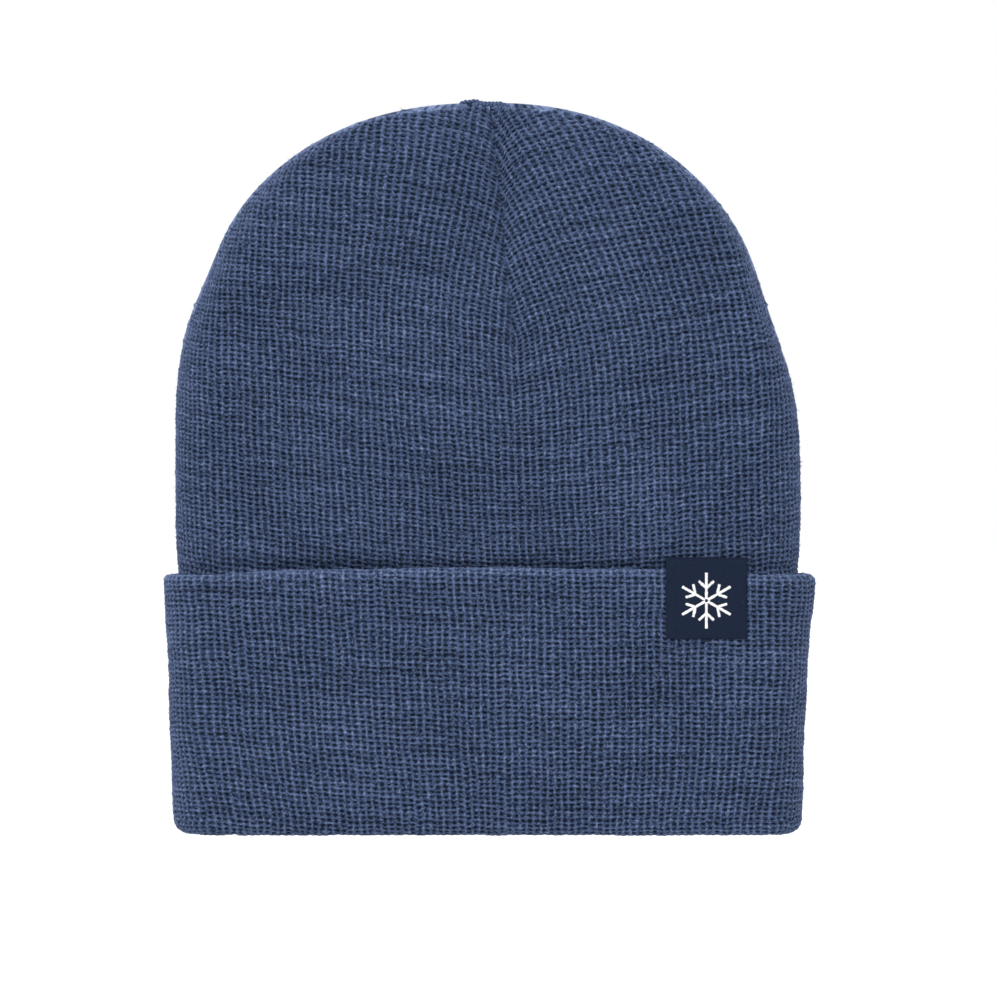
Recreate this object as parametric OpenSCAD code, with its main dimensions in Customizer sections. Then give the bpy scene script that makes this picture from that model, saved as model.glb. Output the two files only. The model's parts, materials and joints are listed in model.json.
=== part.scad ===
// Cuffed knit beanie: a double-layer knit cap with a four-dart crown and a turned-up cuff.
// Units are millimetres. +Z points to the crown, -Y is the front, and the origin is the centre of
// the head opening, in the plane of the bottom fold.

/* [Cap] */
// Width of the cap just above the cuff
cap_w = 203; // [190:1:215]
// How far each side draws in between the cap's full width and the bottom fold
brim_taper = 4.8; // [2:0.2:8]
// Height of the crown above the bottom fold
crown_top = 237; // [225:1:250]
// Height at which the four darts begin
dart_bottom = 158; // [150:1:165]
// Distance of the front dart's lower end to the right of the centre line
dart_offset = 9; // [0:1:12]

/* [Depth] */
// Half the depth of the cap inside the cuff
brim_depth = 16; // [14:0.5:20]
// How much the cap swells above the cuff, at the front and at the back
swell = 4; // [0:0.5:6]

/* [Fabric] */
// Thickness of one knit layer
layer_t = 1.9; // [1.5:0.1:2.1]
// Gap between the two layers of a wall
layer_gap = 0.2; // [0.1:0.05:0.3]
// Gap between the cap and the turned-up cuff
cuff_gap = 0.8; // [0.7:0.1:1.2]
// Room between the crown's two layers, where the dart seams lie
seam_room = 2.6; // [2.5:0.1:3]

/* [Cuff] */
// Height of the turned-up cuff
cuff_h = 85.5; // [75:0.5:90]
// Half the width of the flat front and back panels, up to the rounded sides
panel_half = 88; // [84:1:90]

/* [Label] */
// Width of the woven label
label_w = 26.6; // [22:0.2:30]
// Height of the woven label's front face
label_h = 26.3; // [22:0.1:30]
// Distance from the centre line to the label's middle
label_x = 70.4; // [50:0.2:72]
// How far the label stands above the cuff's edge
label_rise = 4.1; // [3.5:0.1:5]
// Thickness of the woven label
label_t = 0.5; // [0.4:0.05:0.5]
// Length of one arm of the snowflake on the label
flake_r = 9; // [6:0.5:9]

/* [Hidden] */

FRONT = -1;
BACK = 1;
LEFT = -1;
RIGHT = 1;

// Two layers and the gap between them
wall_t = 2 * layer_t + layer_gap;
// The cuff turns about this line, in the middle of the gap between the cap and the cuff
hinge_y = brim_depth + cuff_gap / 2;
fold_r = wall_t + cuff_gap / 2;
fold_bore_r = cuff_gap / 2;
// Walls stop just short of the bottom fold
wall_clear = 0.1;
wall_bottom = fold_r + wall_clear;
cuff_inner_y = brim_depth + cuff_gap;
cuff_outer_y = cuff_inner_y + wall_t;
edge_z = cuff_h - wall_t / 2;
// Half the slit between the cuff's hinged panels and its sliding sides
split_clear = 0.15;
// The cap reaches its full width and starts to swell at these heights
full_width_z = 100;
swell_start = 93;
swell_rise = 45;
// Crown outline: where each side starts to curve in, and how square its shoulder is
crown_start_left = 130;
crown_start_right = 112;
shoulder_power = 2.3;
// The side darts draw the outline in a little below each shoulder
pull_left = 2.0;
pull_left_z = 182;
pull_left_span = 16;
pull_right = 2.8;
pull_right_z = 170;
pull_right_span = 20;
// Side profile of the crown
round_start = 125;
round_power = 2.6;
// The crown's last ring, and the depth it keeps outside and inside
last_ring = crown_top - 0.2;
rim_outside = 1.6;
rim_inside = 0.4;
gore_rows = 13;
face_cols = 4;
end_cols = 5;
seam_w = 3;
seam_top = 224;
seam_clear = 0.1;
// Depth below the outside surface of each layer in the tube and in the crown
lining_k = layer_t + layer_gap;
lining_gore_k = layer_t + seam_room;

knit_blue = [0.23, 0.285, 0.39];
knit_blue_dark = [0.2, 0.25, 0.35];
label_navy = [0.14, 0.18, 0.26];
motif_white = [0.9, 0.9, 0.9];
thread_navy = [0.1, 0.13, 0.2];

function ramp(v) = let (c = min(1, max(0, v))) c * c * (3 - 2 * c);
function bell(v) = exp(-v * v);

// Half the cap's width at height z, measured towards one side
function crown_curve(z, start) =
    pow(1 - pow(max(0, min(z, crown_top) - start) / (crown_top - start), shoulder_power), 1 / shoulder_power);
function side_pull(side, z) = side == LEFT
    ? pull_left * bell((z - pull_left_z) / pull_left_span)
    : pull_right * bell((z - pull_right_z) / pull_right_span);
function half_width(side, z) =
    (cap_w / 2 - brim_taper * max(0, 1 - z / full_width_z))
    * crown_curve(z, side == LEFT ? crown_start_left : crown_start_right) - side_pull(side, z);

// Half the cap's depth at height z
function half_depth(z) =
    (brim_depth + swell * ramp((z - swell_start) / swell_rise))
    * sqrt(1 - pow(max(0, z - round_start) / (crown_top - round_start), round_power));
function layer_depth(z, k, rim) = max(half_depth(z) - k, rim);

// Where the flat face ends and the rounded side begins, k below the outside
function face_end(side, z, k) = z <= dart_bottom
    ? panel_half
    : panel_half * (half_width(side, z) - k) / (half_width(side, dart_bottom) - k);

// The front dart slants towards the crown's middle, and the back dart is straight
function dart_x(face, z) = face == FRONT
    ? dart_offset * (1 - 0.9 * (z - dart_bottom) / (crown_top - dart_bottom))
    : 0;

// Layers further in also end lower under the crown
function layer_z(z, k) = z - k * pow(max(0, z - dart_bottom) / (crown_top - dart_bottom), 2);

// A point on the flat face: t runs from the dart (0) to where the side begins (1)
function face_point(side, face, t, z, k, rim) = [
    dart_x(face, z) * (1 - t) + side * face_end(side, z, k) * t,
    face * layer_depth(z, k, rim),
    layer_z(z, k)
];
// A point on the rounded side: a runs from the face (0) to the outline (90 degrees)
function end_point(side, face, a, z, k, rim) = [
    side * (face_end(side, z, k) + (half_width(side, z) - k - face_end(side, z, k)) * sin(a)),
    face * layer_depth(z, k, rim) * cos(a),
    layer_z(z, k)
];

// A closed wall between an outer and an inner grid of points
module wall(outer, inner, flip = false) {
    rows = len(outer);
    cols = len(outer[0]);
    all_points = concat([for (row = outer) each row], [for (row = inner) each row]);
    inside = rows * cols;
    rim = concat(
        [for (c = [0 : cols - 1]) c],
        [for (r = [1 : rows - 1]) r * cols + cols - 1],
        [for (c = [cols - 2 : -1 : 0]) (rows - 1) * cols + c],
        [for (r = [rows - 2 : -1 : 1]) r * cols]
    );
    quads = concat(
        [for (r = [0 : rows - 2], c = [0 : cols - 2])
            [r * cols + c, (r + 1) * cols + c, (r + 1) * cols + c + 1, r * cols + c + 1]],
        [for (r = [0 : rows - 2], c = [0 : cols - 2])
            [for (v = [r * cols + c, r * cols + c + 1, (r + 1) * cols + c + 1, (r + 1) * cols + c])
                inside + v]],
        [for (n = [0 : len(rim) - 1])
            let (p = rim[n], q = rim[(n + 1) % len(rim)]) [p, q, inside + q, inside + p]]
    );
    triangles = [for (q = quads) each [[q[0], q[1], q[2]], [q[0], q[2], q[3]]]];
    polyhedron(all_points, flip ? [for (t = triangles) [t[2], t[1], t[0]]] : triangles);
}

// Heights of the rings in the tube and in the crown, closer together where the shape curves
tube_rows = concat([wall_bottom, 30, 60], [for (n = [0 : 5]) swell_start + (dart_bottom - swell_start) * n / 5]);
crown_rows = [for (n = [0 : gore_rows]) dart_bottom + (last_ring - dart_bottom) * sin(90 * n / gore_rows)];

// The flat part of the tube's wall, k_out to k_in below the outside
module tube_panel(face, k_out, k_in) {
    grids = [for (k = [k_out, k_in])
        [for (z = tube_rows) [for (x = [-panel_half, panel_half]) [x, face * (half_depth(z) - k), z]]]];
    wall(grids[0], grids[1], face == BACK);
}

// The rounded side of the tube's wall, from the front face to the back face
module tube_side(side, k_out, k_in) {
    around = concat([for (n = [0 : end_cols]) [FRONT, 90 * n / end_cols]],
        [for (n = [end_cols - 1 : -1 : 0]) [BACK, 90 * n / end_cols]]);
    grids = [for (k = [k_out, k_in])
        [for (z = tube_rows) [for (p = around) end_point(side, p[0], p[1], z, k, rim_inside)]]];
    wall(grids[0], grids[1], side == LEFT);
}

// A quarter of the crown, from a face's dart to the side dart
module gore(side, face, k_out, k_in) {
    grids = [for (layer = [[k_out, rim_outside], [k_in, rim_inside]])
        [for (z = crown_rows) concat(
            [for (n = [0 : face_cols]) face_point(side, face, n / face_cols, z, layer[0], layer[1])],
            [for (n = [1 : end_cols]) end_point(side, face, 90 * n / end_cols, z, layer[0], layer[1])])]];
    wall(grids[0], grids[1], side * face > 0);
}

seam_rows = concat([dart_bottom + 1], [for (z = crown_rows) if (z > dart_bottom + 1 && z < seam_top) z]);
seam_k_out = layer_t + seam_clear;
seam_k_in = lining_gore_k - seam_clear;
// The side seams lie a little deeper, where the layers curve round them
side_seam_k_out = seam_k_out + 2 * seam_clear;

// The sewn edges of a front or back dart, folded inside the outer layer
module face_seam(face) {
    grids = [for (k = [seam_k_out, seam_k_in])
        [for (z = seam_rows) [for (x = [-seam_w / 2, seam_w / 2])
            [dart_x(face, z) + x, face * (half_depth(z) - k), layer_z(z, k)]]]];
    wall(grids[0], grids[1], face == BACK);
}

// The sewn edges of a side dart
module side_seam(side) {
    grids = [for (k = [side_seam_k_out, seam_k_in])
        [for (z = seam_rows) [for (y = [-seam_w / 2, seam_w / 2])
            [side * (half_width(side, z) - k), y, layer_z(z, k)]]]];
    wall(grids[0], grids[1], side == LEFT);
}

// Half a ring, drawn with its flat side on the X axis and its round side towards +Y
module half_ring(outer_r, inner_r) {
    difference() {
        circle(r = outer_r, $fn = 64);
        circle(r = inner_r, $fn = 64);
        translate([-outer_r - 1, -outer_r - 1]) square([2 * outer_r + 2, outer_r + 1]);
    }
}

// A half ring drawn out along X: up is 1 for an edge that turns over the top, -1 for a fold below
module straight_roll(face, y, z, outer_r, inner_r, half_len, up) {
    translate([-half_len, face * y, z])
        rotate([90, 0, 90])
            linear_extrude(height = 2 * half_len)
                mirror([0, up < 0 ? 1 : 0]) half_ring(outer_r, inner_r);
}

// The same half ring led round one side of the cap, along an ellipse with half axes ax and ay
module side_roll(side, from_x, ax, ay, z, outer_r, inner_r, up) {
    turns = 12;
    arcs = 8;
    grids = [for (r = [outer_r, inner_r]) [for (b = [0 : arcs]) [for (n = [0 : turns])
        let (a = -90 + 180 * n / turns,
             c = 180 * b / arcs,
             nx = cos(a) / ax,
             ny = sin(a) / ay,
             nl = norm([nx, ny]))
        [side * (from_x + ax * cos(a) + r * cos(c) * nx / nl),
         ay * sin(a) + r * cos(c) * ny / nl,
         z + up * r * sin(c)]]]];
    wall(grids[0], grids[1], side * up < 0);
}

// One layer of the cuff's front or back panel, k_out to k_in below the cuff's outside
module cuff_panel(face, k_out, k_in) {
    half = panel_half - split_clear;
    y = face == FRONT ? -(cuff_outer_y - k_out) : cuff_outer_y - k_in;
    translate([-half, y, wall_bottom]) cube([2 * half, k_in - k_out, edge_z - wall_bottom]);
}

// One layer of the cuff's rounded side
module cuff_side(side, k_out, k_in) {
    from_x = panel_half + split_clear;
    turns = 12;
    grids = [for (k = [k_out, k_in]) [for (z = [wall_bottom, edge_z]) [for (n = [0 : turns])
        let (a = -90 + 180 * n / turns)
        [side * (from_x + (half_width(side, z) + cuff_gap + wall_t - k - from_x) * cos(a)),
         (cuff_outer_y - k) * sin(a),
         z]]]];
    wall(grids[0], grids[1], side == LEFT);
}

module cuff_panel_edge(face) {
    straight_roll(face, cuff_inner_y + wall_t / 2, edge_z, wall_t / 2, layer_gap / 2, panel_half - split_clear, 1);
}

module cuff_side_edge(side) {
    from_x = panel_half + split_clear;
    ax = half_width(side, edge_z) + cuff_gap + wall_t / 2 - from_x;
    side_roll(side, from_x, ax, cuff_inner_y + wall_t / 2, edge_z, wall_t / 2, layer_gap / 2, 1);
}

module fold_straight(face) {
    straight_roll(face, hinge_y, fold_r, fold_r, fold_bore_r, panel_half - split_clear, -1);
}

module fold_side(side) {
    from_x = panel_half + split_clear;
    side_roll(side, from_x, half_width(side, fold_r) + cuff_gap / 2 - from_x, hinge_y, fold_r, fold_r, fold_bore_r, -1);
}

module outer_front() { color(knit_blue) tube_panel(FRONT, 0, layer_t); }
module outer_back() { color(knit_blue) tube_panel(BACK, 0, layer_t); }
module outer_left() { color(knit_blue) tube_side(LEFT, 0, layer_t); }
module outer_right() { color(knit_blue) tube_side(RIGHT, 0, layer_t); }

module gore_front_left() { color(knit_blue) gore(LEFT, FRONT, 0, layer_t); }
module gore_front_right() { color(knit_blue) gore(RIGHT, FRONT, 0, layer_t); }
module gore_back_left() { color(knit_blue) gore(LEFT, BACK, 0, layer_t); }
module gore_back_right() { color(knit_blue) gore(RIGHT, BACK, 0, layer_t); }

module dart_seam_front() { color(knit_blue_dark) face_seam(FRONT); }
module dart_seam_back() { color(knit_blue_dark) face_seam(BACK); }
module dart_seam_left() { color(knit_blue_dark) side_seam(LEFT); }
module dart_seam_right() { color(knit_blue_dark) side_seam(RIGHT); }

// The small knot of yarn that closes the crown where the four darts meet
module crown_knot() {
    knot_r = 0.9;
    knot_half = 4;
    knot_x = -5;
    color(knit_blue)
        translate([knot_x, 0, last_ring + knot_r + wall_clear]) {
            rotate([0, 90, 0]) cylinder(r = knot_r, h = 2 * knot_half, center = true, $fn = 32);
            for (end = [-1, 1]) translate([end * knot_half, 0, 0]) sphere(r = knot_r, $fn = 32);
        }
}

module lining_front() { color(knit_blue_dark) tube_panel(FRONT, lining_k, wall_t); }
module lining_back() { color(knit_blue_dark) tube_panel(BACK, lining_k, wall_t); }
module lining_left() { color(knit_blue_dark) tube_side(LEFT, lining_k, wall_t); }
module lining_right() { color(knit_blue_dark) tube_side(RIGHT, lining_k, wall_t); }

module lining_gore(side, face) {
    color(knit_blue_dark) gore(side, face, lining_gore_k, lining_gore_k + layer_t);
}
module lining_gore_front_left() { lining_gore(LEFT, FRONT); }
module lining_gore_front_right() { lining_gore(RIGHT, FRONT); }
module lining_gore_back_left() { lining_gore(LEFT, BACK); }
module lining_gore_back_right() { lining_gore(RIGHT, BACK); }

module fold_front() { color(knit_blue) fold_straight(FRONT); }
module fold_back() { color(knit_blue) fold_straight(BACK); }
module fold_left() { color(knit_blue) fold_side(LEFT); }
module fold_right() { color(knit_blue) fold_side(RIGHT); }

module cuff_front_outer() { color(knit_blue) cuff_panel(FRONT, 0, layer_t); }
module cuff_front_inner() { color(knit_blue_dark) cuff_panel(FRONT, lining_k, wall_t); }
module cuff_front_edge() { color(knit_blue) cuff_panel_edge(FRONT); }
module cuff_back_outer() { color(knit_blue) cuff_panel(BACK, 0, layer_t); }
module cuff_back_inner() { color(knit_blue_dark) cuff_panel(BACK, lining_k, wall_t); }
module cuff_back_edge() { color(knit_blue) cuff_panel_edge(BACK); }
module cuff_left_outer() { color(knit_blue) cuff_side(LEFT, 0, layer_t); }
module cuff_left_inner() { color(knit_blue_dark) cuff_side(LEFT, lining_k, wall_t); }
module cuff_left_edge() { color(knit_blue) cuff_side_edge(LEFT); }
module cuff_right_outer() { color(knit_blue) cuff_side(RIGHT, 0, layer_t); }
module cuff_right_inner() { color(knit_blue_dark) cuff_side(RIGHT, lining_k, wall_t); }
module cuff_right_edge() { color(knit_blue) cuff_side_edge(RIGHT); }

label_clear = 0.05;
label_front_y = cuff_outer_y + label_clear + label_t;
label_back_y = cuff_inner_y - label_clear - label_t;
label_arch_r = (label_front_y - label_back_y) / 2;
label_arch_z = cuff_h + label_rise - label_arch_r;
label_bottom = cuff_h + label_rise - label_h;
label_tail = 10;

// The woven label, folded over the cuff's edge with one leg in front and a short one behind
module label() {
    color(label_navy)
        translate([label_x - label_w / 2, 0, 0]) {
            translate([0, -label_front_y, label_bottom])
                cube([label_w, label_t, label_arch_z - label_bottom]);
            translate([0, -label_back_y - label_t, label_arch_z - label_tail])
                cube([label_w, label_t, label_tail]);
            translate([0, -(label_front_y + label_back_y) / 2, label_arch_z])
                rotate([90, 0, 90])
                    linear_extrude(height = label_w)
                        half_ring(label_arch_r, label_arch_r - label_t);
        }
}

// A plain six-armed snowflake woven into the label's front
module label_motif() {
    bar = 0.8;
    raise = 0.2;
    twig = flake_r * 0.36;
    color(motif_white)
        translate([label_x, -label_front_y, label_bottom + label_h * 0.47])
            rotate([90, 0, 0])
                linear_extrude(height = raise)
                    for (arm = [0 : 60 : 300])
                        rotate(arm) {
                            translate([-bar / 2, 0]) square([bar, flake_r]);
                            for (lean = [-50, 50])
                                translate([0, flake_r * 0.5])
                                    rotate(lean) translate([-bar / 2, 0]) square([bar, twig]);
                        }
}

// The bar tack that holds the label's lower edge to the cuff
module label_tack() {
    tack_w = 3.6;
    tack_r = 0.45;
    color(thread_navy)
        translate([label_x - tack_w / 2, -cuff_outer_y - label_clear - tack_r, label_bottom - tack_r - label_clear])
            rotate([0, 90, 0]) cylinder(r = tack_r, h = tack_w, $fn = 24);
}

outer_front();
outer_back();
outer_left();
outer_right();
gore_front_left();
gore_front_right();
gore_back_left();
gore_back_right();
dart_seam_front();
dart_seam_back();
dart_seam_left();
dart_seam_right();
crown_knot();
lining_front();
lining_back();
lining_left();
lining_right();
lining_gore_front_left();
lining_gore_front_right();
lining_gore_back_left();
lining_gore_back_right();
fold_front();
fold_back();
fold_left();
fold_right();
cuff_front_outer();
cuff_front_inner();
cuff_front_edge();
cuff_back_outer();
cuff_back_inner();
cuff_back_edge();
cuff_left_outer();
cuff_left_inner();
cuff_left_edge();
cuff_right_outer();
cuff_right_inner();
cuff_right_edge();
label();
label_motif();
label_tack();
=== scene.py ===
import json
import math

import bpy
import numpy as np
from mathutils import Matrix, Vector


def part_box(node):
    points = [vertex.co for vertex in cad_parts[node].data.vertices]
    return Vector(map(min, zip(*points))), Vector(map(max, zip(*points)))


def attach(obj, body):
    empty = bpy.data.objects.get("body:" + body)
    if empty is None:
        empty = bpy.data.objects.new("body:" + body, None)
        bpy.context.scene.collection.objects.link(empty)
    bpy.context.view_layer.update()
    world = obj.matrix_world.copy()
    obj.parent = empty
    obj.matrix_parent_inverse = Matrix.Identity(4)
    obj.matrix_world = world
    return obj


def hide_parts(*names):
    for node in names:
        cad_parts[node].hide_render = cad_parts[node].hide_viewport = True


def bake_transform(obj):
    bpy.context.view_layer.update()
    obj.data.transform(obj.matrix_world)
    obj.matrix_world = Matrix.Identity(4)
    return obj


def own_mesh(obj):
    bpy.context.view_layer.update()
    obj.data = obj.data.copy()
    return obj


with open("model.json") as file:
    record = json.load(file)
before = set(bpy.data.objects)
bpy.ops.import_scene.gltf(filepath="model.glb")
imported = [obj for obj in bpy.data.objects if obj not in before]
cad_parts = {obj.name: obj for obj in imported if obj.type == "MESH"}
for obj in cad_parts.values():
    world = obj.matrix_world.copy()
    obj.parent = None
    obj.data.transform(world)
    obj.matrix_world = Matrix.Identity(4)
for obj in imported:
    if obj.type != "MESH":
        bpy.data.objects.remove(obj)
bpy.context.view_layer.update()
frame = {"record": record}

# Lengths are in millimetres until a mesh is made, which is in metres.
MM = 0.001
FRONT, BACK = -1, 1
LEFT, RIGHT = -1, 1


def node_box(node):
    """A CAD node's lowest and highest corners in millimetres."""
    low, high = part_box(node)
    return [v / MM for v in low], [v / MM for v in high]


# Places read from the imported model
panel_low, panel_high = node_box("outer_front")
inner_high = node_box("cuff_front_inner")[1]
outer_low, outer_high = node_box("cuff_front_outer")
label_low, label_high = node_box("label")
PANEL_HALF = panel_high[0]
WALL_BOTTOM = panel_low[2]
DART_BOTTOM = panel_high[2]
HINGE = next(j for j in frame["record"]["behaviour"]["joints"] if j["name"] == "cuff_front_turn")["pos_m"]
HINGE_Y = -HINGE[1] / MM
HINGE_Z = HINGE[2] / MM
CUFF_INNER_Y = -inner_high[1]
CUFF_OUTER_Y = -outer_low[1]
WALL_T = CUFF_OUTER_Y - CUFF_INNER_Y
BRIM_DEPTH = 2 * HINGE_Y - CUFF_INNER_Y
CUFF_GAP = CUFF_INNER_Y - BRIM_DEPTH
EDGE_Z = outer_high[2]
SWELL = -panel_low[1] - BRIM_DEPTH
CAP_HALF = -node_box("outer_left")[0][0]
CROWN_TOP = node_box("gore_front_left")[1][2] + 0.2

# The cap's shape between those places, as in the CAD model
BRIM_TAPER = 4.8
FULL_WIDTH_Z = 100.0
SWELL_START, SWELL_RISE = 93.0, 45.0
CROWN_START = {LEFT: 130.0, RIGHT: 112.0}
SHOULDER_POWER = 2.3
SIDE_PULL = {LEFT: (2.0, 182.0, 16.0), RIGHT: (2.8, 170.0, 20.0)}
ROUND_START, ROUND_POWER = 125.0, 2.6
DART_CLOSES = 0.9

# The knit: ribs run up the cap, courses run across it. Half a flat face holds this many ribs on the cap and on
# the cuff, whose ribs lie a little wider apart, and half a rounded side holds this many more.
CAP_RIBS = 38
PANEL_RIBS = 37
SIDE_RIBS = 11
CAP_RIB = PANEL_HALF / CAP_RIBS
# The cuff's rib and course spacing as it lies. It also stands for the unstretched knit, whose own isn't known.
RIB = PANEL_HALF / PANEL_RIBS
COURSE = 1.62
# The cap's course spacing at each height where a course meets the dart, closest below the crown
COURSE_SPACING = [(-60, 1.60), (60, 1.58), (95, 1.46), (150, 1.42), (178, 1.50), (237, 1.52)]
# Mesh points to a rib on the cap, on its lining and on the cuff
PER_RIB, LINING_PER_RIB, CUFF_PER_RIB = 4, 1, 5
# How far a stitch stands out, and the parts of that: strand, bead, hollow and unevenness
RELIEF = 0.34
STRAND_HIGH, BEAD_HIGH, HOLLOW_DEEP, UNEVEN = 0.5, 0.35, 1.9, 0.3
# The rib number at which the back's texture starts
BACK_UV = 200
# The noise repeats after this many ribs and courses. Each use has its own seed.
NOISE_GRID = (211, 263)
RELIEF_SEED, SEAM_SEED, WEAR_AND_HIGHLIGHT_SEED = 11, 41, 51
# The hollows between the yarns: how far the bars above and below sag, how wide and high a hollow is, and
# how deep the pattern has to be for a hollow to start and to be at its full depth
BAR_SAG = 0.055
HOLLOW_WIDE, HOLLOW_HIGH = 0.5, 1.0
HOLLOW_FROM, HOLLOW_TO = 0.15, 0.75
# Loose fibres standing off the knit: how many, how long and wide in mm, how deep they are rooted, and how
# much lighter they are painted as a highlight
FIBRES_PER_MM2 = 0.26
FIBRE_SHORT, FIBRE_LONG, FIBRE_WIDE = 0.7, 1.7, 0.10
FIBRE_ROOT = 0.15
FIBRE_PAINTED_HIGHLIGHT = 0.8
# How far a fibre has gone outwards, along the knit and with its curl, at its middle and at its tip
FIBRE_MIDDLE = (0.40, 0.30, 0.15)
FIBRE_TIP = (0.50, 0.75, 0.30)


def ramp(v):
    """Rises smoothly from 0 at v = 0 to 1 at v = 1, and stays level outside."""
    c = np.clip(v, 0.0, 1.0)
    return c * c * (3 - 2 * c)


def bell(distance, width, centre=0.0):
    """1 at the centre, falling smoothly to 0 on both sides."""
    return np.exp(-(((distance - centre) / width) ** 2))


def crown_curve(z, start):
    """How wide the crown still is at height z, as a share of its width where it starts."""
    u = np.clip((np.minimum(z, CROWN_TOP) - start) / (CROWN_TOP - start), 0, 1)
    return np.power(np.clip(1 - np.power(u, SHOULDER_POWER), 0, 1), 1 / SHOULDER_POWER)


def half_width(side, z):
    """Half the cap's width at height z, on one side."""
    pull, pull_z, span = SIDE_PULL[side]
    full = CAP_HALF - BRIM_TAPER * np.clip(1 - z / FULL_WIDTH_Z, 0, None)
    return full * crown_curve(z, CROWN_START[side]) - pull * bell(z, span, pull_z)


def half_depth(z):
    """Half the cap's depth at height z."""
    u = np.clip((z - ROUND_START) / (CROWN_TOP - ROUND_START), 0, 1)
    swell = BRIM_DEPTH + SWELL * ramp((z - SWELL_START) / SWELL_RISE)
    return np.maximum(swell * np.sqrt(np.clip(1 - np.power(u, ROUND_POWER), 0, 1)), 0.02)


def face_end(side, z):
    """Where the flat face ends and the rounded side begins."""
    scale = half_width(side, z) / half_width(side, np.float64(DART_BOTTOM))
    return np.where(z <= DART_BOTTOM, PANEL_HALF, PANEL_HALF * np.clip(scale, 0, 1))


def quarter_arc(a, b):
    """Length of a quarter of an ellipse (Ramanujan)."""
    return math.pi / 4 * (3 * (a + b) - np.sqrt((3 * a + b) * (a + 3 * b)))


def arc_angle(share, a, b):
    """The angle at a share of the way along a quarter ellipse, from its y end to its x end."""
    length = quarter_arc(a, b)
    m0 = np.clip(length / (math.pi / 2 * np.maximum(a, 1e-3)), 0.3, 2.8)
    m1 = np.clip(length / (math.pi / 2 * np.maximum(b, 1e-3)), 0.3, 2.8)
    t = np.clip(share, 0, 1)
    return math.pi / 2 * (m0 * t * (1 - t) ** 2 + t * t * (3 - 2 * t) - m1 * t * t * (1 - t))


class CapSurface:
    """The outside of the cap, inset by k: a point for each distance out from the middle and height."""

    def __init__(self, side, face, inset=0.0):
        self.side, self.face, self.inset = side, face, inset

    def reach(self, z):
        """The distance along the surface from the middle to the outline."""
        end = face_end(self.side, z)
        return end + quarter_arc(np.maximum(half_width(self.side, z) - end, 0.05), half_depth(z))

    def point(self, out, z):
        k = self.inset
        end = face_end(self.side, z)
        round_x = np.maximum(half_width(self.side, z) - end, 0.05)
        depth = half_depth(z)
        angle = arc_angle((out - end) / quarter_arc(round_x, depth), round_x, depth)
        on_face = out <= end
        keep_x = np.maximum(round_x - k, 0.05)
        keep_y = np.maximum(depth - k, 0.01)
        x = np.where(on_face, out, end + keep_x * np.sin(angle))
        y = np.where(on_face, keep_y, keep_y * np.cos(angle))
        return np.stack([self.side * x, self.face * y, z + 0 * x], axis=-1)

    def from_outline(self, x, z):
        """Distance in from the cap's outline, as seen from the front."""
        slope = (half_width(self.side, z + 0.2) - half_width(self.side, z - 0.2)) / 0.4
        return (half_width(self.side, z) - np.abs(x)) / np.hypot(1, slope)

    def normal(self, out, z):
        step = 0.15
        along = self.point(out + step, z) - self.point(out - step, z)
        up = self.point(out, z + step) - self.point(out, z - step)
        n = -self.side * self.face * np.cross(along, up)
        length = np.linalg.norm(n, axis=-1, keepdims=True)
        return n / np.maximum(length, 1e-9)


def yarn_noise(ribs, courses, seed):
    """A smooth random value for each stitch, sampled between stitches."""
    wide, high = NOISE_GRID
    grid = np.random.default_rng(seed).normal(0, 1, NOISE_GRID)
    i, j = np.floor(ribs).astype(int), np.floor(courses).astype(int)
    u, v = ramp(ribs - i), ramp(courses - j)
    a, b, c, d = (grid[(i + p) % wide, (j + q) % high] for p, q in ((0, 0), (1, 0), (0, 1), (1, 1)))
    return (a * (1 - u) + b * u) * (1 - v) + (c * (1 - u) + d * u) * v


def wander(ribs, courses):
    """Where a stitch really is: hand-made unevenness, in ribs and courses."""
    along = 0.055 * yarn_noise(ribs, courses, 31) + 0.10 * yarn_noise(ribs * 0.31, courses * 0.13, 32)
    up = 0.055 * yarn_noise(ribs, courses, 33) + 0.13 * yarn_noise(ribs, courses * 0.11, 34)
    return ribs + along, courses + up


SPACING_STEP = 0.5
SPACED_LEVELS = np.arange(-60, 260, SPACING_STEP)
SPACED_COURSES = np.cumsum(SPACING_STEP / np.interp(SPACED_LEVELS, *zip(*COURSE_SPACING)))


def course_number(level):
    """Which course lies at a height on the cap, where it meets the dart."""
    return np.interp(level, SPACED_LEVELS, SPACED_COURSES)


def course_level(course):
    return np.interp(course, SPACED_COURSES, SPACED_LEVELS)


def hollow(ribs, courses):
    """1 in the hollow between two bars and two strands, 0 on the yarn. Bars sag between the strands."""
    column = 0.5 + 0.5 * np.cos(2 * math.pi * ribs)
    row = 0.5 - 0.5 * np.cos(2 * math.pi * (courses + BAR_SAG * np.cos(2 * math.pi * ribs)))
    return ramp((column ** HOLLOW_WIDE * row ** HOLLOW_HIGH - HOLLOW_FROM) / (HOLLOW_TO - HOLLOW_FROM))


def relief(ribs, courses):
    """How far the knit stands out."""
    strand = 0.5 - 0.5 * np.cos(2 * math.pi * ribs)
    bead = 0.5 + 0.5 * np.cos(2 * math.pi * courses)
    height = STRAND_HIGH * strand + BEAD_HIGH * bead - HOLLOW_DEEP * hollow(ribs, courses)
    return RELIEF * (height + UNEVEN * yarn_noise(ribs, courses, RELIEF_SEED))


def sway(x, z):
    """The slow unevenness of a soft cap, in millimetres."""
    return (0.35 * np.sin(0.043 * x + 0.9) * np.sin(0.051 * z + 0.4)
            + 0.22 * np.sin(0.11 * x - 0.07 * z + 1.7) + 0.12 * np.sin(0.21 * z + 0.05 * x))


def mesh_object(name, points, faces, uvs=None, body="cap"):
    """A mesh from points in millimetres and faces, lists of their numbers."""
    mesh = bpy.data.meshes.new(name)
    mesh.from_pydata([tuple(p) for p in np.asarray(points) * MM], [], faces)
    return finish_mesh(name, mesh, uvs, body)


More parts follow.
